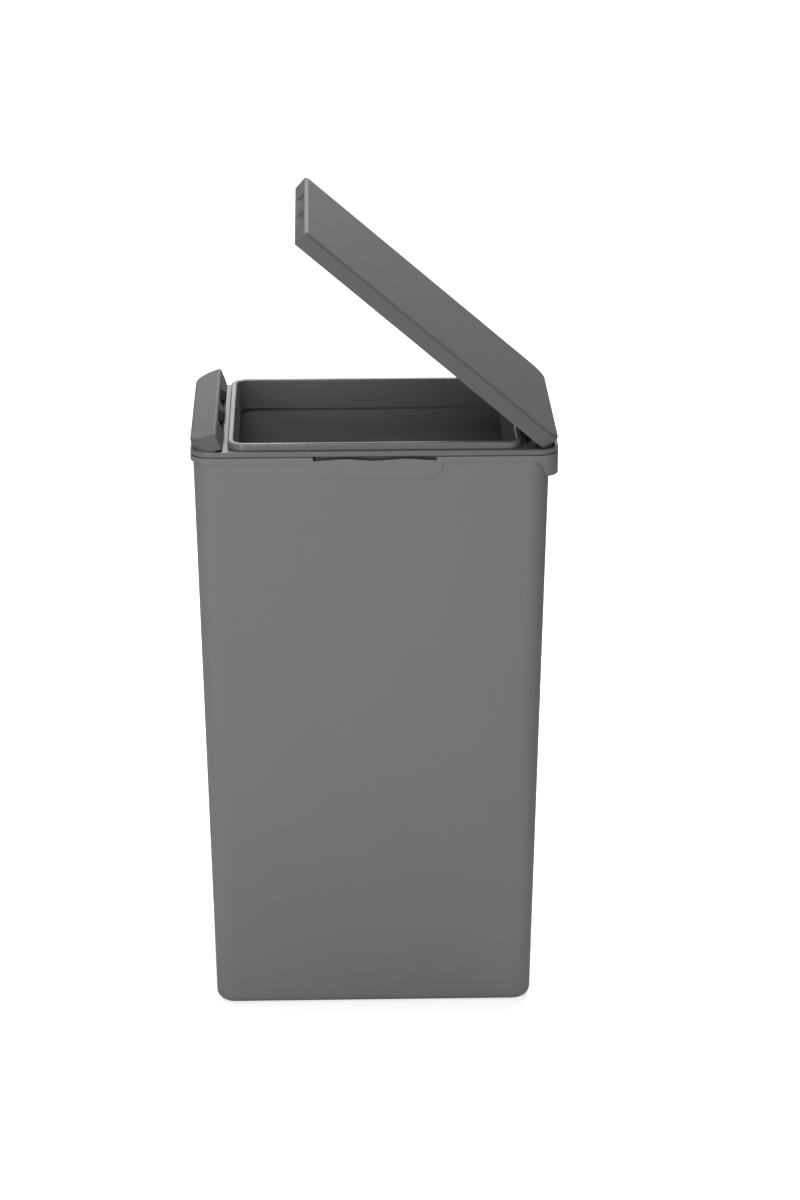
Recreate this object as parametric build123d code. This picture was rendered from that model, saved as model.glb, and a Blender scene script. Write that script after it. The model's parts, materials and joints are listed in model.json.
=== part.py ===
from build123d import *
import math
import os

# Sizes in millimetres. X runs from the touch bar (minus) to the hinge (plus), Z is up from the floor.
frame_length = 370.0
frame_width = 241.0
frame_corner = 20.0
deck = 621.4
deck_plate = 2.5
edge_radius = 1.2

# Bin body
foot_height = 2.0
body_centre = -3.15
body_length = 333.0
body_width = 211.7
body_corner = 20.0
draft = 1.2
wall = 2.5
floor_thickness = 3.0
base_fillet = 10.0

# Rim: the frame's lip, the seam under it and the body's proud band
lip_height = 4.9
seam = 1.5
band_height = 5.4
rim_wall = 1.8
lip_bottom = deck - lip_height
rim_top = lip_bottom - seam
band_bottom = rim_top - band_height
shoulder = band_bottom + 2.0
rear_rim_bottom = deck - 28.5
rear_rim_start = 161.0
rear_rim_end = 176.0
rear_rib_count = 9
rear_rib_half = 0.8
rear_rib_reach = 10.0
rear_rib_lift = 1.0

# Apron and finger notch, the same on both long sides
apron_half_top = 69.0
apron_half_bottom = 66.6
apron_bottom = deck - 28.4
apron_corner = 12.0
notch_half = 62.0
notch_bottom = rim_top - 2.6
notch_wave = 1.0
notch_points = 8

# Bag ring
ring_left = -141.6
ring_right = 142.7
ring_half = 110.95
ring_corner = 12.0
ring_rise = 7.4
ring_drop = 23.7
ring_wall = 1.8
ring_rim = 5.8
ring_left_lean = 3.4
ring_right_lean = 8.2
ring_side_lean = 1.85
ring_rim_corner = 16.0
ring_seat_step = 1.0
ring_seat_inset = 1.6
ring_outer_edge = 2.0
ring_inner_edge = 1.6
ring_clearance = 2.4

# Lid, drawn shut
lid_left = -151.3
lid_right = 181.0
lid_half = 119.8
lid_corner = 18.0
lid_gap = 1.35
lid_top = deck + 18.5
lid_wall = 2.2
lid_end_wall = 3.0
lid_edge = 3.5
square_corner = 1.5
hinge_x = 170.5
hinge_z = deck + 7.3
open_angle = 40.66

# Touch bar, drawn released
bar_left = -181.5
bar_right = -153.0
bar_half = 118.3
bar_corner = 20.0
bar_edge = 3.0
bar_wall = 2.0
pivot_x = -158.2
pivot_z = deck + 2.0
press_angle = 20.0
latch_place = 36.0
latch_width = 34.0
hook_low = deck + 7.5
hook_height = 2.3
hook_reach = 3.4
hook_depth = 5.0
pocket_low = deck + 7.1
pocket_high = deck + 14.6
pocket_half = 19.0
pocket_depth = 2.2
recess_low = deck + 4.5
recess_half = 21.0
recess_depth = 1.0
foot_drop = 0.2

# Bays in the frame
bay_left = -182.6
bay_right = -152.3
bay_half = 118.8
bay_ledge = deck - 8.6
bay_floor = deck - 12.0
bay_shell = 1.8
bay_corner = 20.5
bay_slope = 1.5
tray_inset = 3.5
tray_half = 114.0
tray_corner = 18.0
well_left = 153.0
well_right = 181.5
well_half = 117.0
well_corner = 13.0
well_floor = deck - 6.5
skirt_inset = 2.1
skirt_wall = 2.2
relief_corner = 3.0
deep = 20.0

# Hinge, pins, springs and damper
pin_radius = 2.0
running_gap = 0.05
boss_radius = 4.6
inner_ear = 66.0
outer_ear = 88.0
ear_thickness = 3.0
knuckle_place = 83.0
knuckle_width = 8.0
pin_end = 0.5
pin_head_radius = 3.4
pin_head_height = 1.6
rod_radius = 1.5
rod_half_length = 104.0
rod_lug_radius = 2.6
rod_lug_spacing = 100.0
lug_half = 2.0
spring_wire = 1.0
spring_start = 70.0
torsion_leg = 5.5
torsion_turn = 150
torsion_radius = 3.7
torsion_pitch = 1.6
torsion_turns = 4
return_radius = 3.8
return_pitch = 2.6
return_turns = 6
return_x = -172.0
return_y = 60.0
return_leg = 1.0
return_seat = 0.7
spring_post_radius = 2.6
spring_post_height = 4.0
damper_radius = 6.3
damper_half = 7.0
damper_wall = 1.2
damper_bottom = 1.5
damper_lid = 2.0
damper_seat_half = 16.0
damper_seat_height = 2.5
damper_screw_x = well_left + 6
damper_screw_y = 11.5
rotor_shaft = 2.5
centre_knuckle_low = 8.5
centre_knuckle_high = 14.5

# Fasteners, panel and feet
screw_shank = 1.3
screw_head = 2.7
screw_head_height = 1.2
screw_gap = 0.05
screw_pass = 0.1
screw_length = 4.2
screw_edge = 0.5
panel_low = deck + 11.6
panel_thickness = 1.8
panel_half_length = 136.0
panel_half_width = 104.0
panel_corner = 12.0
panel_screw_x = 124.0
panel_screw_y = 92.0
panel_boss = 4.0
boss_end_gap = 0.2
plate_low = deck + 11.5
plate_thickness = 1.8
plate_left = -176.0
plate_inset = 2.4
plate_half = 98.0
plate_corner = 3.0
plate_rib_half = 0.8
plate_rib_drop = 3.0
plate_rib_length = 13.0
carrier_lug_radius = 2.8
bar_boss = 3.4
bar_screw_x = -169.0
pad_radius = 12.0
pad_edge = 0.6
stud_radius = 3.0
stud_height = 2.0
stud_gap = 0.1
foot_x = 135.0
foot_y = 76.0
far = 400.0

hinge_axis = Axis((hinge_x, 0, hinge_z), (0, 1, 0))
pivot_axis = Axis((pivot_x, 0, pivot_z), (0, 1, 0))


def outline(left, right, half_width, left_radius, right_radius, height):
    sheet = Rectangle(right - left, 2 * half_width)
    sheet = fillet(sheet.vertices().group_by(Axis.X)[0], left_radius)
    sheet = fillet(sheet.vertices().group_by(Axis.X)[-1], right_radius)
    return Pos((left + right) / 2, 0, height) * sheet


def block(left, right, half_width, radius, low, high):
    return extrude(outline(left, right, half_width, radius, radius, low), high - low)


def box(x_low, x_high, y_low, y_high, z_low, z_high):
    centre = ((x_low + x_high) / 2, (y_low + y_high) / 2, (z_low + z_high) / 2)
    return Pos(*centre) * Box(x_high - x_low, y_high - y_low, z_high - z_low)


# A profile drawn in X and Z, carried along Y from low to high
def across(profile, low, high):
    return Pos(0, high, 0) * extrude(Plane.XZ * profile, high - low)


def rod(x, z, radius, low, high):
    return across(Pos(x, z) * Circle(radius), low, high)


def post(x, y, radius, low, high):
    return Pos(x, y, low) * extrude(Circle(radius), high - low)


def joined(pieces):
    whole = pieces[0]
    for piece in pieces[1:]:
        whole = whole + piece
    return whole


def save(piece, name):
    piece.label = name
    export_step(piece, os.path.join("parts", name + ".step"))


# Bin body: flat drafted walls with rounded uprights and a rounded foot
def drafted_profile(centre, bottom_width, inset, low, high):
    slope = math.tan(math.radians(draft))
    half_low = bottom_width / 2 - inset + slope * (low - foot_height)
    half_high = bottom_width / 2 - inset + slope * (high - foot_height)
    lower = [(centre - half_low, low), (centre + half_low, low)]
    upper = [(centre + half_high, high), (centre - half_high, high)]
    return make_face(Polyline(*lower, *upper, close=True))


def body_form(inset, low, high, base_radius):
    front = drafted_profile(body_centre, body_length, inset, low, high)
    side = drafted_profile(0, body_width, inset, low, high)
    form = across(front, -far, far) & extrude(Plane.YZ * side, far, both=True)
    uprights = form.edges().filter_by(lambda edge: abs((edge % 0.5).Z) > 0.9)
    form = fillet(uprights, body_corner - inset)
    return fillet(form.edges().group_by(Axis.Z)[0], base_radius)


def frame_block(inset, low, high):
    half_length = frame_length / 2 - inset
    return block(-half_length, half_length, frame_width / 2 - inset, frame_corner - inset, low, high)


# The rim drops in a soft curve to a deeper hollow flange at the hinge end
def rear_rim():
    start = (rear_rim_start, band_bottom)
    end = (rear_rim_end, rear_rim_bottom)
    middle = (start[0] + end[0]) / 2 + 1
    curve = Bezier(start, (middle, start[1]), (middle, end[1]), end)
    rest = Polyline(end, (far, end[1]), (far, rim_top), (start[0], rim_top), start)
    zone = across(make_face([*curve.edges(), *rest.edges()]), -far, far)
    skin = frame_block(0, rear_rim_bottom, rim_top) - frame_block(rim_wall, rear_rim_bottom, rim_top)
    pieces = [skin & zone]
    step = (frame_width - 2 * frame_corner) / (rear_rib_count - 1)
    rib_bottom = rear_rim_bottom + rear_rib_lift
    envelope = frame_block(rim_wall / 2, rib_bottom, rim_top)
    for number in range(rear_rib_count):
        place = -frame_width / 2 + frame_corner + number * step
        low = place - rear_rib_half
        rib = box(rear_rim_end - rear_rib_reach, far / 2, low, place + rear_rib_half, rib_bottom, band_bottom)
        pieces.append(rib & envelope)
    return joined(pieces)


def apron():
    corners = [
        (-apron_half_top, rim_top),
        (-apron_half_bottom, apron_bottom),
        (apron_half_bottom, apron_bottom),
        (apron_half_top, rim_top),
    ]
    profile = make_face(Polyline(*corners, close=True))
    lower = profile.vertices().group_by(Axis.Y)[0]
    profile = fillet(lower, apron_corner)
    return across(profile, -frame_width / 2, frame_width / 2)


def notch():
    points = []
    for number in range(notch_points + 1):
        share = number / notch_points
        height = notch_bottom - notch_wave * math.cos(4 * math.pi * share)
        points.append((-notch_half + 2 * notch_half * share, height))
    lower = Spline(*points)
    upper = Polyline(points[-1], (notch_half, rim_top + 1), (-notch_half, rim_top + 1), points[0])
    return across(make_face([*lower.edges(), *upper.edges()]), -far, far)


def foot_places():
    places = []
    for x_side in (-1, 1):
        for y_side in (-1, 1):
            places.append((body_centre + x_side * foot_x, y_side * foot_y))
    return places


def body_shell():
    outer = body_form(0, foot_height, shoulder, base_fillet)
    whole = joined([outer, frame_block(0, band_bottom, rim_top), apron(), rear_rim()])
    floor_level = foot_height + floor_thickness
    hollow = body_form(wall, floor_level, shoulder, base_fillet - wall)
    whole = whole - hollow - frame_block(rim_wall, shoulder, rim_top + 1) - notch()
    for x, y in foot_places():
        whole = whole - post(x, y, stud_radius + stud_gap, 0, foot_height + stud_height + stud_gap)
    return whole


def rubber_feet():
    pads = []
    for x, y in foot_places():
        pad = fillet(post(x, y, pad_radius, 0, foot_height).edges().group_by(Axis.Z)[0], pad_edge)
        pads.append(pad + post(x, y, stud_radius, foot_height, foot_height + stud_height))
    return Compound(children=pads)


# Lift-off frame
def hinge_ear(low, high):
    corners = [
        (well_left + 1, well_floor),
        (well_left + 9.5, well_floor),
        (hinge_x - 4, hinge_z - boss_radius),
        (hinge_x, hinge_z - boss_radius),
        (hinge_x, hinge_z + boss_radius),
        (hinge_x - 4, hinge_z + boss_radius - 1),
        (well_left + 5, deck - 1),
        (well_left + 1, deck - 2),
    ]
    arm = across(make_face(Polyline(*corners, close=True)), low, high)
    ear = arm + rod(hinge_x, hinge_z, boss_radius, low, high)
    return ear - rod(hinge_x, hinge_z, pin_radius + running_gap, low, high)


def rod_lug(low, high):
    stem = box(pivot_x - rod_lug_radius, pivot_x + rod_lug_radius, low, high, bay_floor, pivot_z)
    lug = stem + rod(pivot_x, pivot_z, rod_lug_radius, low, high)
    return lug - rod(pivot_x, pivot_z, rod_radius + running_gap, low, high)


def ear_places():
    places = []
    for start in (inner_ear, outer_ear):
        places.append((start, start + ear_thickness))
        places.append((-start - ear_thickness, -start))
    return places


def damper_screw_hole(side):
    return post(damper_screw_x, side * damper_screw_y, screw_shank + screw_gap, well_floor, deck)


# The bay for the touch bar: a sloped upper part over a narrower tray
def bar_bay():
    upper = loft([
        outline(bay_left + bay_slope, bay_right, bay_half - bay_slope, tray_corner, square_corner, bay_ledge),
        outline(bay_left, bay_right, bay_half, bay_corner, square_corner, deck + 0.01),
    ])
    left = bay_left + tray_inset + bay_shell
    corner = tray_corner - bay_shell
    lower = outline(left, bay_right, tray_half - bay_shell, corner, square_corner, bay_floor)
    return upper + extrude(lower, bay_ledge - bay_floor)


def damper_seat():
    top = well_floor + damper_seat_height
    seat = box(well_left + 1, well_left + 11, -damper_seat_half, damper_seat_half, well_floor, top)
    return seat - damper_screw_hole(-1) - damper_screw_hole(1)


def top_frame():
    lip = frame_block(0, lip_bottom, deck)
    lip = fillet(lip.edges().group_by(Axis.Z)[-1], edge_radius)
    skirt = frame_block(skirt_inset, shoulder, lip_bottom)
    tray_low = bay_floor - bay_shell
    tray_right = bay_right + bay_shell
    tray = outline(bay_left + tray_inset, tray_right, tray_half, tray_corner, square_corner, tray_low)
    tray = extrude(tray, shoulder - tray_low)
    whole = lip + skirt + tray
    bay_length = (ring_left - ring_clearance, ring_right + ring_clearance)
    bay_width = ring_half + ring_clearance
    ring_bay = block(*bay_length, bay_width, ring_corner + ring_clearance, shoulder - deep, deck + 1)
    inside = frame_width / 2 - skirt_inset - skirt_wall
    relief_high = deck - deck_plate
    relief = block(tray_right, well_left - bay_shell, inside, relief_corner, shoulder - 1, relief_high)
    tray_side = box(bay_left - 1, tray_right, -far, far, shoulder - deep, shoulder) - tray
    well = block(well_left, well_right, well_half, well_corner, well_floor, deck + 1)
    fingers = box(-notch_half, notch_half, -far, far, shoulder - 1, lip_bottom)
    whole = whole - ring_bay - relief - tray_side - bar_bay() - well - fingers
    pieces = [whole, damper_seat()]
    for low, high in ear_places():
        pieces.append(hinge_ear(low, high))
    for middle in (-rod_lug_spacing, 0, rod_lug_spacing):
        pieces.append(rod_lug(middle - lug_half, middle + lug_half))
    for side in (-1, 1):
        post_high = bay_floor + spring_post_height
        pieces.append(post(return_x, side * return_y, spring_post_radius, bay_floor, post_high))
    return joined(pieces)


def hinge_pin(side):
    end = outer_ear + ear_thickness + running_gap
    low, high = sorted((side * (inner_ear - pin_end), side * end))
    head_low, head_high = sorted((side * end, side * (end + pin_head_height)))
    head = rod(hinge_x, hinge_z, pin_head_radius, head_low, head_high)
    return rod(hinge_x, hinge_z, pin_radius, low, high) + head


def button_pivot_rod():
    return rod(pivot_x, pivot_z, rod_radius, -rod_half_length, rod_half_length)


# Coil springs: each quarter turn of the helix is two arcs that meet smoothly
def arc_pair(start, start_way, end, end_way):
    chord = end - start
    ways = start_way + end_way
    slack = 2 * (1 - start_way.dot(end_way))
    reach = (-chord.dot(ways) + math.sqrt(chord.dot(ways) ** 2 + slack * chord.dot(chord))) / slack
    middle = (start + end + (start_way - end_way) * reach) * 0.5
    middle_way = (end - end_way * reach - start - start_way * reach).normalized()
    first = TangentArc(start, middle, tangent=start_way)
    return [first, TangentArc(middle, end, tangent=middle_way)]


def helix_point(radius, pitch, turn):
    angle = 2 * math.pi * turn
    return Vector(radius * math.cos(angle), radius * math.sin(angle), pitch * turn)


def helix_way(radius, pitch, turn):
    angle = 2 * math.pi * turn
    slope = pitch / (2 * math.pi)
    return Vector(-radius * math.sin(angle), radius * math.cos(angle), slope).normalized()


def coil(radius, pitch, turns, start_leg, end_leg):
    first = helix_point(radius, pitch, 0)
    last = helix_point(radius, pitch, turns)
    first_way = helix_way(radius, pitch, 0)
    last_way = helix_way(radius, pitch, turns)
    edges = [Line(first - first_way * start_leg, first)]
    for number in range(4 * turns):
        low = number / 4
        high = low + 0.25
        ends = (helix_point(radius, pitch, low), helix_way(radius, pitch, low))
        stops = (helix_point(radius, pitch, high), helix_way(radius, pitch, high))
        edges.extend(arc_pair(*ends, *stops))
    edges.append(Line(last, last + last_way * end_leg))
    path = Wire([edge.edge() for edge in edges])
    section = Plane(path @ 0, z_dir=path % 0) * Circle(spring_wire / 2)
    return sweep(section, path=path)


# Least distance between turns, measured on points of the coil's centre line
def coil_gap(radius, pitch, turns):
    steps = 48
    points = [helix_point(radius, pitch, number / steps) for number in range(steps * turns + 1)]
    least = far
    for number, point in enumerate(points):
        for other in points[number + steps // 2:]:
            least = min(least, (point - other).length)
    return least - spring_wire


def lid_spring(side):
    coil_length = torsion_pitch * torsion_turns
    spring = coil(torsion_radius, torsion_pitch, torsion_turns, torsion_leg, torsion_leg)
    spring = spring.rotate(Axis.X, -90).rotate(Axis.Y, torsion_turn)
    start = spring_start if side > 0 else -spring_start - coil_length
    return Pos(hinge_x, start, hinge_z) * spring


def button_springs():
    springs = []
    for side in (-1, 1):
        spring = coil(return_radius, return_pitch, return_turns, return_leg, return_leg)
        springs.append(Pos(return_x, side * return_y, bay_floor + return_seat) * spring)
    return Compound(children=springs)


# Rotary damper on the hinge line
def damper_body():
    seat_top = well_floor + damper_seat_height
    foot_half = damper_seat_half - 0.5
    foot_left = well_left + 1.5
    foot_right = well_left + 10.5
    foot = box(foot_left, foot_right, -foot_half, foot_half, seat_top, seat_top + damper_seat_height)
    web_corners = [
        (foot_left, seat_top + damper_seat_height),
        (foot_right, seat_top + damper_seat_height),
        (hinge_x - 2, hinge_z - damper_radius + 1),
        (hinge_x, hinge_z),
        (hinge_x - 3, hinge_z + damper_radius - 2),
    ]
    open_end = damper_half - damper_lid
    web = across(make_face(Polyline(*web_corners, close=True)), -damper_half, open_end)
    barrel = rod(hinge_x, hinge_z, damper_radius, -damper_half, open_end)
    inner = rod(hinge_x, hinge_z, damper_radius - damper_wall, -damper_half + damper_bottom, damper_half)
    return foot + web + barrel - inner - damper_screw_hole(-1) - damper_screw_hole(1)


def damper_cap():
    cap = rod(hinge_x, hinge_z, damper_radius, damper_half - damper_lid, damper_half)
    return cap - rod(hinge_x, hinge_z, rotor_shaft + 2 * running_gap, 0, damper_half + 1)


def damper_rotor():
    drum_radius = damper_radius - damper_wall - 2 * running_gap
    drum_high = damper_half - damper_lid - 2 * running_gap
    drum_low = -damper_half + damper_bottom + 2 * running_gap
    drum = rod(hinge_x, hinge_z, drum_radius, drum_low, drum_high)
    return drum + rod(hinge_x, hinge_z, rotor_shaft, drum_high, centre_knuckle_high - 0.2)


def screw(x, y, head_low, length, upwards):
    shank_low = head_low + screw_head_height if upwards else head_low - length
    shank = post(x, y, screw_shank, shank_low, shank_low + length)
    head = post(x, y, screw_head, head_low, head_low + screw_head_height)
    rim = head.edges().group_by(Axis.Z)[0 if upwards else -1]
    return fillet(rim, screw_edge) + shank


def damper_screws():
    head_low = well_floor + 2 * damper_seat_height
    length = 2 * damper_seat_height - boss_end_gap
    screws = [screw(damper_screw_x, side * damper_screw_y, head_low, length, False) for side in (-1, 1)]
    return Compound(children=screws)


# Bag ring
def ring_section(height, grow):
    share = (deck + ring_rise - height) / (ring_rise + ring_drop)
    left = ring_left + ring_left_lean * share - grow
    right = ring_right - ring_right_lean * share + grow
    half = ring_half - ring_side_lean * share + grow
    return outline(left, right, half, ring_corner + grow, ring_corner + grow, height)


def bag_ring():
    top = deck + ring_rise
    step = deck + ring_seat_step
    rim = block(ring_left - ring_rim, ring_right + ring_rim, ring_half + ring_rim, ring_rim_corner, step, top)
    rim = fillet(rim.edges().group_by(Axis.Z)[-1], ring_outer_edge)
    reach = ring_rim - ring_seat_inset
    corner = ring_rim_corner - ring_seat_inset
    seat = block(ring_left - reach, ring_right + reach, ring_half + reach, corner, deck, step)
    collar = loft([ring_section(deck - ring_drop, ring_wall), ring_section(step, ring_wall)])
    mouth = loft([ring_section(deck - ring_drop, 0), ring_section(top, 0)])
    whole = rim + seat + collar - mouth
    inner_top = whole.edges().filter_by(lambda edge: edge.center().Z > top - 0.1)
    inner_top = [edge for edge in inner_top if abs(edge.center().Y) < ring_half + 1]
    inner_top = [edge for edge in inner_top if ring_left - 1 < edge.center().X < ring_right + 1]
    return fillet(inner_top, ring_inner_edge)


# Lid, drawn shut and then turned to the angle it stands at
def lid_outline(inset, front_inset, height):
    left = lid_left + front_inset
    return outline(left, lid_right - inset, lid_half - inset, square_corner, lid_corner - inset, height)


def knuckle(low, high, bore):
    stem = box(hinge_x - boss_radius, hinge_x + boss_radius, low, high, hinge_z, lid_top - lid_wall)
    block_end = stem + rod(hinge_x, hinge_z, boss_radius, low, high)
    return block_end - rod(hinge_x, hinge_z, bore, low, high)


def panel_screw_places():
    places = []
    for x in (-panel_screw_x, 0, panel_screw_x):
        for side in (-1, 1):
            places.append((x, side * panel_screw_y))
    return places


def lid_shell():
    low = deck + lid_gap
    whole = extrude(lid_outline(0, 0, low), lid_top - low)
    whole = fillet(whole.edges().group_by(Axis.Z)[-1], lid_edge)
    inner_top = lid_top - lid_wall
    whole = whole - extrude(lid_outline(lid_wall, lid_end_wall, low - 1), inner_top - low + 1)
    for side in (-1, 1):
        middle = side * latch_place
        edges = (middle - recess_half, middle + recess_half)
        recess = box(lid_left - 1, lid_left + recess_depth, *edges, recess_low, pocket_high)
        edges = (middle - pocket_half, middle + pocket_half)
        pocket = box(lid_left - 1, lid_left + pocket_depth, *edges, pocket_low, pocket_high)
        whole = whole - recess - pocket
    pieces = [whole]
    half = knuckle_width / 2
    for place in (-knuckle_place, knuckle_place):
        pieces.append(knuckle(place - half, place + half, pin_radius + running_gap))
    pieces.append(knuckle(centre_knuckle_low, centre_knuckle_high, rotor_shaft + running_gap))
    for x, y in panel_screw_places():
        boss = post(x, y, panel_boss, panel_low + panel_thickness, inner_top)
        pieces.append(boss - post(x, y, screw_shank + screw_gap, panel_low, inner_top - boss_end_gap))
    return joined(pieces)


def lid_inner_panel():
    high = panel_low + panel_thickness
    panel = block(-panel_half_length, panel_half_length, panel_half_width, panel_corner, panel_low, high)
    panel = fillet(panel.edges().group_by(Axis.Z)[0], edge_radius)
    for x, y in panel_screw_places():
        panel = panel - post(x, y, screw_shank + screw_pass, panel_low - 1, high + 1)
    return panel


def lid_screws():
    head_low = panel_low - screw_head_height
    screws = [screw(x, y, head_low, screw_length, True) for x, y in panel_screw_places()]
    return Compound(children=[piece.rotate(hinge_axis, open_angle) for piece in screws])


# Touch bar, drawn released and then turned to the pressed angle
def bar_outline(inset, height):
    left = bar_left + inset
    return outline(left, bar_right - inset, bar_half - inset, bar_corner - inset, square_corner, height)


def bar_screw_places():
    return [(bar_screw_x, place) for place in (-88, -20, 20, 88)]


def button_cover():
    low = deck + lid_gap
    inner_top = lid_top - lid_wall
    whole = extrude(bar_outline(0, low), lid_top - low)
    whole = fillet(whole.edges().group_by(Axis.Z)[-1], bar_edge)
    foot_half = bar_half - bar_wall
    foot = box(bar_right - bar_wall, bar_right, -foot_half, foot_half, deck + foot_drop, low)
    whole = whole + foot - extrude(bar_outline(bar_wall, low - 1), inner_top - low + 1)
    for side in (-1, 1):
        edges = (side * latch_place - recess_half, side * latch_place + recess_half)
        whole = whole - box(bar_right - 2 * bar_wall, bar_right + 1, *edges, recess_low, pocket_high)
    pieces = [whole]
    for x, y in bar_screw_places():
        boss = post(x, y, bar_boss, plate_low + plate_thickness, inner_top)
        pieces.append(boss - post(x, y, screw_shank + screw_gap, plate_low, inner_top - boss_end_gap))
    return joined(pieces)


def hook(middle):
    plate_high = plate_low + plate_thickness
    corners = [
        (bar_right - hook_depth, plate_high),
        (bar_right - 0.4, plate_high),
        (bar_right + hook_reach, hook_low + hook_height),
        (bar_right + hook_reach, hook_low),
        (bar_right - hook_depth, hook_low),
    ]
    nose = make_face(Polyline(*corners, close=True))
    return across(nose, middle - latch_width / 2, middle + latch_width / 2)


def carrier_lug(low, high):
    left = pivot_x - carrier_lug_radius
    stem = box(left, pivot_x + carrier_lug_radius, low, high, pivot_z, plate_low + 0.5)
    lug = stem + rod(pivot_x, pivot_z, carrier_lug_radius, low, high)
    return lug - rod(pivot_x, pivot_z, rod_radius + running_gap, low, high)


def button_carrier():
    high = plate_low + plate_thickness
    pieces = [block(plate_left, bar_right - plate_inset, plate_half, plate_corner, plate_low, high)]
    for place in (-latch_place, latch_place):
        pieces.append(hook(place))
    for place in (-94.5, -5.5, 5.5, 94.5):
        pieces.append(carrier_lug(place - lug_half, place + lug_half))
    rib_left = plate_left + 1
    for place in (-75, -48, 48, 75):
        edges = (place - plate_rib_half, place + plate_rib_half)
        rib_low = plate_low - plate_rib_drop
        pieces.append(box(rib_left, rib_left + plate_rib_length, *edges, rib_low, plate_low + 0.5))
    whole = joined(pieces)
    for x, y in bar_screw_places():
        whole = whole - post(x, y, screw_shank + screw_pass, plate_low - 1, high + 1)
    return whole


def button_screws():
    head_low = plate_low - screw_head_height
    screws = [screw(x, y, head_low, screw_length, True) for x, y in bar_screw_places()]
    return Compound(children=[piece.rotate(pivot_axis, -press_angle) for piece in screws])


def main():
    os.makedirs("parts", exist_ok=True)
    save(body_shell(), "body_shell")
    save(rubber_feet(), "rubber_feet")
    save(top_frame(), "top_frame")
    save(hinge_pin(-1), "hinge_pin_front")
    save(hinge_pin(1), "hinge_pin_back")
    save(lid_spring(-1), "lid_spring_front")
    save(lid_spring(1), "lid_spring_back")
    save(damper_body(), "damper_body")
    save(damper_cap(), "damper_cap")
    save(damper_screws(), "damper_screws")
    save(button_pivot_rod(), "button_pivot_rod")
    save(button_springs(), "button_springs")
    save(bag_ring(), "bag_ring")
    save(lid_shell().rotate(hinge_axis, open_angle), "lid_shell")
    save(lid_inner_panel().rotate(hinge_axis, open_angle), "lid_inner_panel")
    save(lid_screws(), "lid_screws")
    save(damper_rotor(), "damper_rotor")
    save(button_cover().rotate(pivot_axis, -press_angle), "button_cover")
    save(button_carrier().rotate(pivot_axis, -press_angle), "button_carrier")
    save(button_screws(), "button_screws")
    print("least gap in a lid spring", round(coil_gap(torsion_radius, torsion_pitch, torsion_turns), 2))
    print("least gap in a return spring", round(coil_gap(return_radius, return_pitch, return_turns), 2))


main()
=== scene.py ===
import json
import math

import bmesh
import bpy
from mathutils import Matrix, Vector


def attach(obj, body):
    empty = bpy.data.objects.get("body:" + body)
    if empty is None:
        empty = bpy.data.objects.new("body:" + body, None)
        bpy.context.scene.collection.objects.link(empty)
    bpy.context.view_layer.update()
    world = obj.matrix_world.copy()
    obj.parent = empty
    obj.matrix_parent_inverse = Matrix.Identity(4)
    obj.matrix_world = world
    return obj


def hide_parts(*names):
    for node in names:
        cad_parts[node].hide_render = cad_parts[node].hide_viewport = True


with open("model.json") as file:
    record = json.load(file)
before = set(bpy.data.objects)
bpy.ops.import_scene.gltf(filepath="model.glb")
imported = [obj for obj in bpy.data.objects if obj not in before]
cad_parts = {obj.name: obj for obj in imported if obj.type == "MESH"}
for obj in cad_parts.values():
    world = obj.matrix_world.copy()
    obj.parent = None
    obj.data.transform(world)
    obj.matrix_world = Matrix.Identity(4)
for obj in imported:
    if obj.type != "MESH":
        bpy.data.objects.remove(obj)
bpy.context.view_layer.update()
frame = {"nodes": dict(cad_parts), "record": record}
print("frame loaded")

mm = 0.001
white = (1, 1, 1, 1)

# Finishes. A noise is given as its size, detail and roughness, and a range as its low and high end

# slot: material, colour, roughness, depth of the grain, strength of the highlight
plasticKinds = {
    "body_grey": ("mouldedPolypropyleneBody", "#88898b", 0.52, 0.25, 0.4),
    "frame_grey": ("mouldedPolypropyleneFrame", "#7c7d7f", 0.22, 0.1, 0.6),
    "ring_grey": ("mouldedPolypropyleneRing", "#7b7c7e", 0.2, 0.05, 0.65),
    # the lid's and the bar's greys are painted shade: set darker than the body's grey to show the shade these
    # parts lie in
    "lid_grey": ("mouldedPolypropyleneLid", "#707173", 0.5, 0.3, 0.4),
    "bar_grey": ("mouldedPolypropyleneBar", "#6f7072", 0.58, 0.25, 0.3),
    # near black with almost no highlight: partly the acetal's own dark colour, partly painted shade, so the
    # hooks show as the shade deep in their windows
    "dark_moulding": ("mouldedAcetalDark", "#1d1e20", 0.7, 0.15, 0.04),
}

plasticLook = {
    "flow": (90 * mm, 3.0, 0.5),       # slow change of tone where the melt flowed
    "flowDepth": 0.008,
    "speck": (0.55 * mm, 2.0, 0.6),    # spark-eroded grain; the real 0.1 mm grain wouldn't show
    "speckDepth": 0.03,
    "speckRough": (0.94, 1.06),
    "rub": (7 * mm, 5.0, 0.65),        # faint patches where hands polish the grain
    "rubDepth": 0.04,
    "bumpDepth": 0.03 * mm,
    "refraction": 1.49,
}

# slot: material, colour, roughness, width of the lines that the die leaves
steelKinds = {
    "bright_steel": ("drawnSteelRod", "#c6c7c9", 0.28, 0.5 * mm),
    "spring_steel": ("springSteelWire", "#9a9b9e", 0.34, 0.4 * mm),
    "zinc_screw": ("zincPlatedScrew", "#cfd1d2", 0.3, 0.7 * mm),
}

steelLook = {
    "lineDetail": 2.0,
    "lineTone": (0.9, 1.06),
    "lineRough": (-0.05, 0.06),
    "patchRatio": 12,                  # a dull patch is this many lines wide
    "patchDetail": 4.0,
    "patchTone": (0.95, 1.03),
    "patchRough": (0.9, 1.2),
    "bump": 0.2,
    "bumpDepth": 0.01 * mm,
}

rubberLook = {
    "colour": "#1e1e1f",
    "bloomSize": 4 * mm,
    "bloomDetail": 4.0,
    "tone": (0.8, 1.5),
    "rough": (0.8, 0.92),
    "bump": 0.3,
    "bumpDepth": 0.05 * mm,
    "refraction": 1.5,
}

# Noise values lie mostly in this range
noiseRange = (0.3, 0.7)


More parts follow.
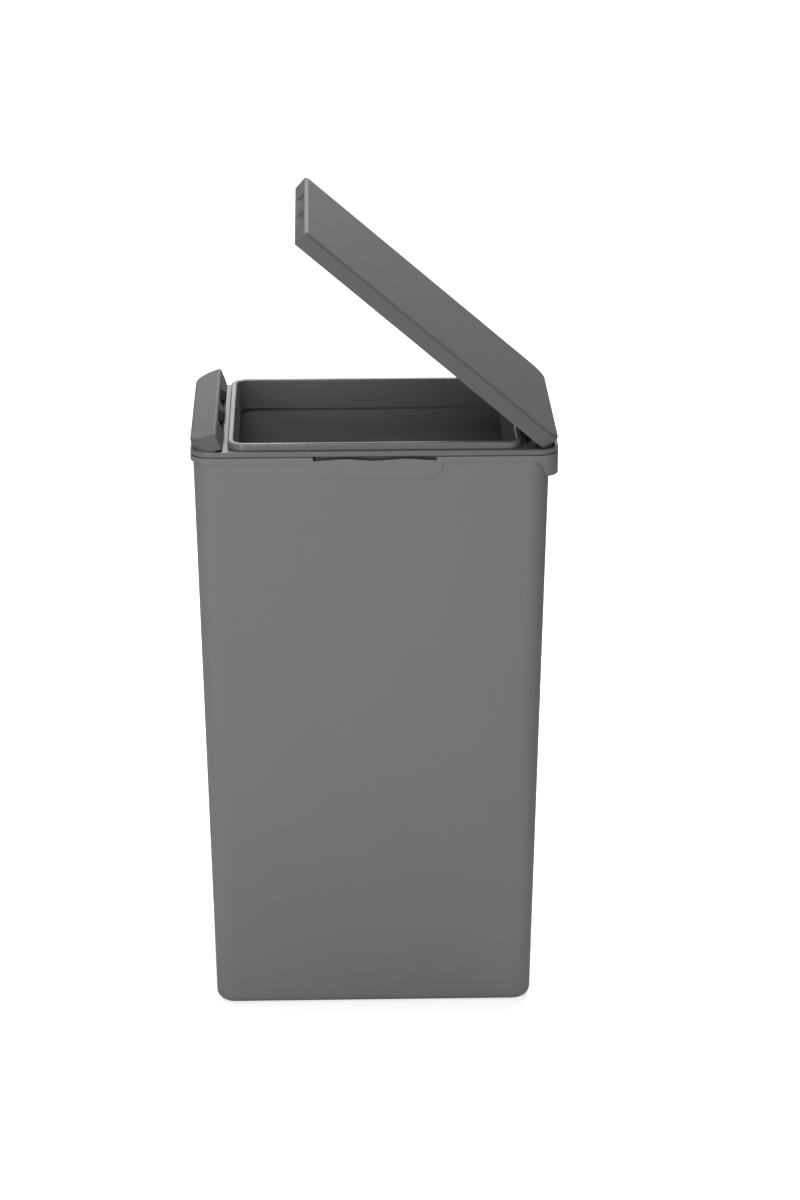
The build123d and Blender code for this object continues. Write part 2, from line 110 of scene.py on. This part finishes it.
def linearOf(hexColour):
    parts = [int(hexColour[i:i + 2], 16) / 255 for i in (1, 3, 5)]
    return [p / 12.92 if p <= 0.04045 else ((p + 0.055) / 1.055) ** 2.4 for p in parts] + [1.0]


def addNode(tree, kind, settings=None, links=None):
    made = tree.nodes.new(kind)
    for key, value in (settings or {}).items():
        if isinstance(key, int) or key in made.inputs:
            made.inputs[key].default_value = value
        else:
            setattr(made, key, value)
    for key, source in (links or {}).items():
        tree.links.new(source, made.inputs[key])
    return made


def startMaterial(name):
    material = bpy.data.materials.new(name)
    material.use_nodes = True
    tree = material.node_tree
    tree.nodes.clear()
    place = addNode(tree, "ShaderNodeTexCoord").outputs["Object"]
    return material, tree, place


def showSurface(tree, shader):
    addNode(tree, "ShaderNodeOutputMaterial", links={"Surface": shader.outputs[0]})


def solidSurface(tree, base, rough, height, bump, bumpDepth, settings):
    relief = addNode(tree, "ShaderNodeBump", {"Strength": bump, "Distance": bumpDepth}, {"Height": height})
    links = {"Base Color": base, "Roughness": rough, "Normal": relief.outputs[0]}
    showSurface(tree, addNode(tree, "ShaderNodeBsdfPrincipled", settings, links))


def noiseAt(tree, place, size, detail, roughness=0.5):
    settings = {"Scale": 1 / size, "Detail": detail, "Roughness": roughness}
    return addNode(tree, "ShaderNodeTexNoise", settings, {"Vector": place}).outputs["Fac"]


# Carries a noise's range to low..high
def spread(tree, value, low, high):
    least, most = noiseRange
    settings = {"From Min": least, "From Max": most, "To Min": low, "To Max": high}
    return addNode(tree, "ShaderNodeMapRange", settings, {"Value": value}).outputs[0]


def multiply(tree, first, second):
    return addNode(tree, "ShaderNodeMath", {"operation": "MULTIPLY"}, {0: first, 1: second}).outputs[0]


def shaded(tree, colour, factor):
    settings = {"operation": "SCALE", 0: linearOf(colour)[:3]}
    return addNode(tree, "ShaderNodeVectorMath", settings, {"Scale": factor}).outputs[0]


# Injection-moulded plastic: satin, with a fine eroded grain, faint flow marks and rubbed patches
def mouldedPlastic(name, colour, roughness, grain, highlight):
    material, tree, place = startMaterial(name)
    look = plasticLook
    flow = noiseAt(tree, place, *look["flow"])
    speck = noiseAt(tree, place, *look["speck"])
    rub = noiseAt(tree, place, *look["rub"])
    tone = spread(tree, flow, 1 - look["flowDepth"], 1 + look["flowDepth"])
    fine = spread(tree, speck, 1 - look["speckDepth"], 1 + look["speckDepth"])
    base = shaded(tree, colour, multiply(tree, tone, fine))
    worn = spread(tree, rub, roughness - look["rubDepth"], roughness + look["rubDepth"])
    rough = multiply(tree, worn, spread(tree, speck, *look["speckRough"]))
    solidSurface(tree, base, rough, speck, grain, look["bumpDepth"],
                 {"IOR": look["refraction"], "Specular IOR Level": highlight})
    return material


# Drawn or plated steel: fine lines from the die, thin dull patches in the plating and a soft shine
def drawnSteel(name, colour, roughness, lineSize):
    material, tree, place = startMaterial(name)
    look = steelLook
    lines = noiseAt(tree, place, lineSize, look["lineDetail"])
    patches = noiseAt(tree, place, look["patchRatio"] * lineSize, look["patchDetail"])
    tone = multiply(tree, spread(tree, lines, *look["lineTone"]), spread(tree, patches, *look["patchTone"]))
    least, most = look["lineRough"]
    lineRough = spread(tree, lines, roughness + least, roughness + most)
    rough = multiply(tree, lineRough, spread(tree, patches, *look["patchRough"]))
    solidSurface(tree, shaded(tree, colour, tone), rough, lines, look["bump"], look["bumpDepth"],
                 {"Metallic": 1.0})
    return material


# Moulded rubber: matt, nearly black, with a powdery bloom
def mouldedRubber(name):
    material, tree, place = startMaterial(name)
    look = rubberLook
    bloom = noiseAt(tree, place, look["bloomSize"], look["bloomDetail"])
    base = shaded(tree, look["colour"], spread(tree, bloom, *look["tone"]))
    solidSurface(tree, base, spread(tree, bloom, *look["rough"]), bloom, look["bump"], look["bumpDepth"],
                 {"IOR": look["refraction"]})
    return material


finishes = {slot: mouldedPlastic(*kind) for slot, kind in plasticKinds.items()}
finishes.update({slot: drawnSteel(*kind) for slot, kind in steelKinds.items()})
finishes["black_rubber"] = mouldedRubber("mouldedRubberPad")

slotOfNode = {row["node"]: row["material_slot"] for row in frame["record"]["subparts"]}
for nodeName, nodeObject in frame["nodes"].items():
    nodeObject.data.materials.clear()
    nodeObject.data.materials.append(finishes[slotOfNode[nodeName]])
print("finishes on", len(frame["nodes"]), "nodes")

# Screws: self-tapping pan heads with a cross recess, set out by one Geometry Nodes tree

screwLook = {
    "headRadius": 2.7 * mm,
    "headHeight": 1.2 * mm,
    "domeRadius": 1.75 * mm,       # the flat in the middle of the head
    "edgeInset": 0.25 * mm,        # the head's rounded edge
    "edgeDrop": 0.12 * mm,
    "rimDrop": 0.5 * mm,
    "shankRadius": 1.25 * mm,
    "tipLength": 0.6 * mm,
    "threadDepth": 0.3 * mm,
    "threadPitch": 0.9 * mm,
    "crestDrop": 0.1 * mm,
    "crossLength": 2.6 * mm,
    "crossWidth": 0.6 * mm,
    "crossDepth": 0.7 * mm,
    "bladeShares": (2.0, 1.9),     # each blade's height over the depth, half of it inside the head
    "turnSeed": 7,
    "sides": 40,
}
lidLean = 40.66                    # degrees from straight down, as photographed
barLean = -20
panelScrewLength = 4.1 * mm
damperScrewLength = 4.6 * mm
weldDistance = 0.001 * mm          # corners this close are one corner
topDepth = 0.02 * mm               # corners this near the highest are the head's top


# The outline is turned about Z: the head's top is at z = 0 and the shank points down
def screwOutline(length):
    look = screwLook
    head = look["headRadius"]
    shank = look["shankRadius"]
    low = -look["headHeight"]
    points = [(0, 0), (look["domeRadius"], 0), (head - look["edgeInset"], -look["edgeDrop"]),
              (head, -look["rimDrop"]), (head, low)]
    depth = low
    while depth - look["threadPitch"] > low - length + look["tipLength"]:
        points.append((shank, depth - look["crestDrop"]))
        points.append((shank - look["threadDepth"], depth - look["threadPitch"] / 2))
        depth -= look["threadPitch"]
    points.append((shank, depth - look["crestDrop"]))
    points.append((0, low - length))
    return points


def turned(name, points, sides):
    shape = bmesh.new()
    rows = []
    for radius, height in points:
        count = 1 if radius == 0 else sides
        angles = [2 * math.pi * number / count for number in range(count)]
        rows.append([shape.verts.new((radius * math.cos(a), radius * math.sin(a), height)) for a in angles])
    for upper, lower in zip(rows, rows[1:]):
        for number in range(sides):
            corners = []
            for row, step in ((upper, 0), (lower, 0), (lower, 1), (upper, 1)):
                vert = row[(number + step) % len(row)]
                if vert not in corners:
                    corners.append(vert)
            shape.faces.new(corners)
    bmesh.ops.recalc_face_normals(shape, faces=shape.faces)
    mesh = bpy.data.meshes.new(name)
    shape.to_mesh(mesh)
    shape.free()
    return mesh


def linkedObject(name, data):
    made = bpy.data.objects.new(name, data)
    bpy.context.scene.collection.objects.link(made)
    return made


# The tree: cut the cross into the screw, put one on each point along its normal, turned by a seeded angle
def screwTree():
    tree = bpy.data.node_groups.new("screwLayout", "GeometryNodeTree")
    kinds = {
        "Geometry": "NodeSocketGeometry",
        "Screw": "NodeSocketObject",
        "Cross Length": "NodeSocketFloat",
        "Cross Width": "NodeSocketFloat",
        "Cross Depth": "NodeSocketFloat",
        "Turn Seed": "NodeSocketInt",
        "Finish": "NodeSocketMaterial",
    }
    sockets = {}
    for label, kind in kinds.items():
        socket = tree.interface.new_socket(name=label, in_out="INPUT", socket_type=kind)
        sockets[label] = socket.identifier
    tree.interface.new_socket(name="Geometry", in_out="OUTPUT", socket_type="NodeSocketGeometry")
    given = addNode(tree, "NodeGroupInput").outputs
    one = addNode(tree, "GeometryNodeObjectInfo", {"transform_space": "ORIGINAL"}, {"Object": given["Screw"]})
    cut = addNode(tree, "GeometryNodeMeshBoolean", {"operation": "DIFFERENCE"},
                  {"Mesh 1": one.outputs["Geometry"]})
    # the blades differ in depth, because two floors in one plane would leave the cut open
    spans = (("Cross Length", "Cross Width"), ("Cross Width", "Cross Length"))
    for (first, second), share in zip(spans, screwLook["bladeShares"]):
        deep = addNode(tree, "ShaderNodeMath", {"operation": "MULTIPLY", 1: share}, {0: given["Cross Depth"]})
        links = {"X": given[first], "Y": given[second], "Z": deep.outputs[0]}
        size = addNode(tree, "ShaderNodeCombineXYZ", links=links)
        blade = addNode(tree, "GeometryNodeMeshCube", links={"Size": size.outputs[0]})
        tree.links.new(blade.outputs["Mesh"], cut.inputs["Mesh 2"])
    normal = addNode(tree, "GeometryNodeInputNamedAttribute", {"data_type": "FLOAT_VECTOR", "Name": "facing"})
    aim = addNode(tree, "FunctionNodeAlignEulerToVector", {"axis": "Z"},
                  {"Vector": normal.outputs["Attribute"]})
    turn = addNode(tree, "FunctionNodeRandomValue", {"data_type": "FLOAT"}, {"Seed": given["Turn Seed"]})
    for socket in turn.inputs:
        if socket.type == "VALUE" and socket.name == "Max":
            socket.default_value = math.pi / 2
    angle = [socket for socket in turn.outputs if socket.type == "VALUE"][0]
    spin = addNode(tree, "ShaderNodeCombineXYZ", links={"Z": angle})
    links = {"Points": given["Geometry"], "Instance": cut.outputs[0], "Rotation": aim.outputs[0]}
    place = addNode(tree, "GeometryNodeInstanceOnPoints", links=links)
    rotate = addNode(tree, "GeometryNodeRotateInstances", {"Local Space": True},
                     {"Instances": place.outputs[0], "Rotation": spin.outputs[0]})
    real = addNode(tree, "GeometryNodeRealizeInstances", links={"Geometry": rotate.outputs[0]})
    paint = addNode(tree, "GeometryNodeSetMaterial",
                    links={"Geometry": real.outputs[0], "Material": given["Finish"]})
    addNode(tree, "NodeGroupOutput", links={"Geometry": paint.outputs[0]})
    return tree, sockets


# A screw node's islands are its screws; each comes back as the places of its corners
def screwClouds(node):
    shape = bmesh.new()
    shape.from_mesh(frame["nodes"][node].data)
    bmesh.ops.remove_doubles(shape, verts=shape.verts, dist=weldDistance)
    clouds = []
    left = set(shape.verts)
    while left:
        island = [left.pop()]
        for vert in island:
            for edge in vert.link_edges:
                other = edge.other_vert(vert)
                if other in left:
                    left.discard(other)
                    island.append(other)
        clouds.append([vert.co.copy() for vert in island])
    shape.free()
    return clouds


def screwsFor(node, body, facing, length, tree, sockets):
    points = []
    for cloud in screwClouds(node):
        top = max(spot.dot(facing) for spot in cloud)
        rim = [spot for spot in cloud if spot.dot(facing) > top - topDepth]
        points.append(sum(rim, Vector()) / len(rim))
    mesh = bpy.data.meshes.new(node + "Points")
    mesh.from_pydata(points, [], [])
    ways = mesh.attributes.new("facing", "FLOAT_VECTOR", "POINT")
    for value in ways.data:
        value.vector = facing
    carrier = linkedObject(node + "Layout", mesh)
    sample = linkedObject(node + "Sample", turned(node + "Sample", screwOutline(length), screwLook["sides"]))
    layout = carrier.modifiers.new("layout", "NODES")
    layout.node_group = tree
    values = {
        "Screw": sample,
        "Cross Length": screwLook["crossLength"],
        "Cross Width": screwLook["crossWidth"],
        "Cross Depth": screwLook["crossDepth"],
        "Turn Seed": screwLook["turnSeed"],
        "Finish": finishes["zinc_screw"],
    }
    for label, value in values.items():
        layout[sockets[label]] = value
    state = carrier.evaluated_get(bpy.context.evaluated_depsgraph_get())
    solid = bpy.data.meshes.new_from_object(state)
    bpy.data.objects.remove(carrier)
    bpy.data.objects.remove(sample)
    piece = linkedObject(node + "_heads", solid)
    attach(piece, body)
    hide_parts(node)
    print(node, len(points), "screws,", len(solid.polygons), "faces")


def leaningDown(degrees):
    lean = math.radians(degrees)
    return Vector((-math.sin(lean), 0, -math.cos(lean)))


upward = Vector((0, 0, 1))
layoutTree, layoutSockets = screwTree()
for screwRow in (("lid_screws", "lid", leaningDown(lidLean), panelScrewLength),
                 ("button_screws", "button", leaningDown(barLean), panelScrewLength),
                 ("damper_screws", "frame", upward, damperScrewLength)):
    screwsFor(*screwRow, layoutTree, layoutSockets)

# Camera, from the photograph's edges: its place in metres, its angles in degrees, its focal length in pixels

view = {
    "place": (-0.0571, -3.4081, 1.6620),
    "down": 20.03,
    "right": 1.43,
    "roll": 0.08,
    "focalPixels": 3448.6,
    "photoHeight": 1200,
    "sensor": 36.0,
}


def addCamera():
    data = bpy.data.cameras.new("camera")
    data.sensor_width = view["sensor"]
    data.lens = view["sensor"] * view["focalPixels"] / view["photoHeight"]
    camera = linkedObject("camera", data)
    tilt = Matrix.Rotation(math.radians(90 - view["down"]), 4, "X")
    turn = Matrix.Rotation(math.radians(-view["right"]), 4, "Z")
    roll = Matrix.Rotation(math.radians(-view["roll"]), 4, "Z")
    camera.matrix_world = Matrix.Translation(view["place"]) @ turn @ tilt @ roll
    bpy.context.scene.camera = camera


# Soft lamps, all aimed at one point above the origin: places and sizes in metres, powers in watts

lamps = {
    "key": {"place": (-0.4, -2.6, 2.35), "size": 1.2, "power": 20.0},
    "near": {"place": (-0.6, -1.7, 0.8), "size": 0.4, "power": 7.6},
    "low": {"place": (-0.6, -2.0, 0.3), "size": 0.6, "power": 1.5},
    "top": {"place": (0.3, 1.3, 2.6), "size": 1.4, "power": 50.0},
    "right": {"place": (0.7, 0.2, 2.6), "size": 1.4, "power": 5.0},
    "left": {"place": (-1.2, 0.1, 2.0), "size": 0.7, "power": 6.0},
    "back": {"place": (-0.2, 3.2, 1.6), "size": 1.6, "power": 12.0},
}
aimHeight = 0.45


def addLamp(name, facts):
    data = bpy.data.lights.new(name, "AREA")
    data.shape = "SQUARE"
    data.size = facts["size"]
    data.energy = facts["power"]
    lamp = linkedObject(name, data)
    lamp.location = facts["place"]
    aim = Vector((0, 0, aimHeight)) - Vector(facts["place"])
    lamp.rotation_euler = aim.to_track_quat("-Z", "Y").to_euler()


# Studio: a floor and a surround that look white to the eye and light the object only a little

studio = {
    "ambient": 0.03,
    "floorHalf": 30.0,
    "floorDrop": 0.3 * mm,         # below the feet
    "floorColour": 0.8,
    "floorGlow": 0.72,             # near the object, so its shadow still shows
    "shadowReach": (0.28, 0.9),    # metres from the origin over which the glow grows to full
}


def seenByEye(tree):
    path = addNode(tree, "ShaderNodeLightPath")
    links = {0: path.outputs["Is Camera Ray"], 1: path.outputs["Is Transmission Ray"]}
    return addNode(tree, "ShaderNodeMath", {"operation": "MAXIMUM"}, links).outputs[0]


def addWorld():
    world = bpy.data.worlds.new("surround")
    bpy.context.scene.world = world
    world.use_nodes = True
    tree = world.node_tree
    tree.nodes.clear()
    strength = addNode(tree, "ShaderNodeMapRange", {"To Min": studio["ambient"], "To Max": 1.0},
                       {"Value": seenByEye(tree)})
    glow = addNode(tree, "ShaderNodeBackground", {"Color": white}, {"Strength": strength.outputs[0]})
    addNode(tree, "ShaderNodeOutputWorld", links={"Surface": glow.outputs[0]})


def addFloor():
    mesh = bpy.data.meshes.new("floor")
    half = studio["floorHalf"]
    low = -studio["floorDrop"]
    corners = [(-half, -half, low), (half, -half, low), (half, half, low), (-half, half, low)]
    mesh.from_pydata(corners, [], [(0, 1, 2, 3)])
    floor = linkedObject("floor", mesh)
    material, tree, place = startMaterial("paperFloor")
    paper = (studio["floorColour"],) * 3 + (1,)
    matt = addNode(tree, "ShaderNodeBsdfDiffuse", {"Color": paper})
    away = addNode(tree, "ShaderNodeVectorMath", {"operation": "LENGTH"}, {0: place})
    near, beyond = studio["shadowReach"]
    settings = {"From Min": near, "From Max": beyond, "To Min": studio["floorGlow"], "To Max": 1.0}
    strength = addNode(tree, "ShaderNodeMapRange", settings, {"Value": away.outputs["Value"]})
    glow = addNode(tree, "ShaderNodeEmission", {"Color": white}, {"Strength": strength.outputs[0]})
    both = addNode(tree, "ShaderNodeAddShader", links={0: matt.outputs[0], 1: glow.outputs[0]})
    links = {0: seenByEye(tree), 1: matt.outputs[0], 2: both.outputs[0]}
    pick = addNode(tree, "ShaderNodeMixShader", links=links)
    # seen from below, the floor is clear
    under = addNode(tree, "ShaderNodeNewGeometry").outputs["Backfacing"]
    clear = addNode(tree, "ShaderNodeBsdfTransparent")
    shown = addNode(tree, "ShaderNodeMixShader", links={0: under, 1: pick.outputs[0], 2: clear.outputs[0]})
    showSurface(tree, shown)
    mesh.materials.append(material)


addCamera()
addWorld()
for lampName, lampFacts in lamps.items():
    addLamp(lampName, lampFacts)
addFloor()
bpy.context.scene.view_settings.view_transform = "Standard"
print("camera, floor and lamps")
